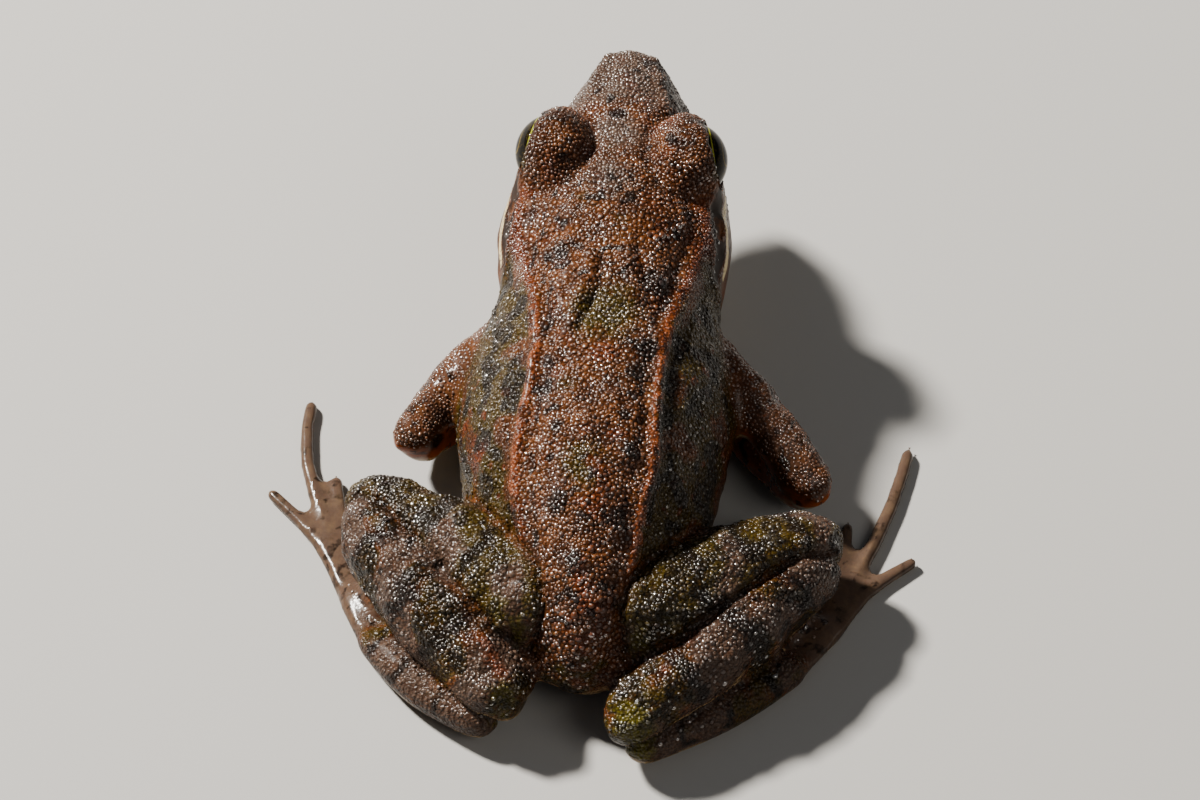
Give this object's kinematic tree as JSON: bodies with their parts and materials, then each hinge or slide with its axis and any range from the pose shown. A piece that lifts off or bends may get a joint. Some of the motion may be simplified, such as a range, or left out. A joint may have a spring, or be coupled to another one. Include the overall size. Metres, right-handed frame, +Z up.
{
  "type": "common frog figure",
  "caption": "Life-size still model of a young common frog, sitting with its head raised, hind legs folded beside the body and elbows held out.",
  "frame": {"origin": "the flat of the belly, where it rests on the ground, on the body's midline", "axes": "the snout points along -Y, +X is towards the frog's own left and +Z is up"},
  "size_m": [0.0335, 0.0387, 0.0137],
  "materials": {
    "skin": "wet, granular",
    "pale_skin": "wet, smooth",
    "eye": "polished"
  },
  "bodies": {
    "root": {"trunk": "skin", "head": "skin", "lower_jaw": "pale_skin", "eye_left": "eye", "eye_right": "eye", "upper_arm_left": "skin", "upper_arm_right": "skin", "forearm_left": "skin", "forearm_right": "skin", "hand_left": "pale_skin", "hand_right": "pale_skin", "thigh_left": "skin", "thigh_right": "skin", "shank_left": "skin", "shank_right": "skin", "tarsus_left": "skin", "tarsus_right": "skin", "foot_left": "pale_skin", "foot_right": "pale_skin"}
  },
  "joints": []
}
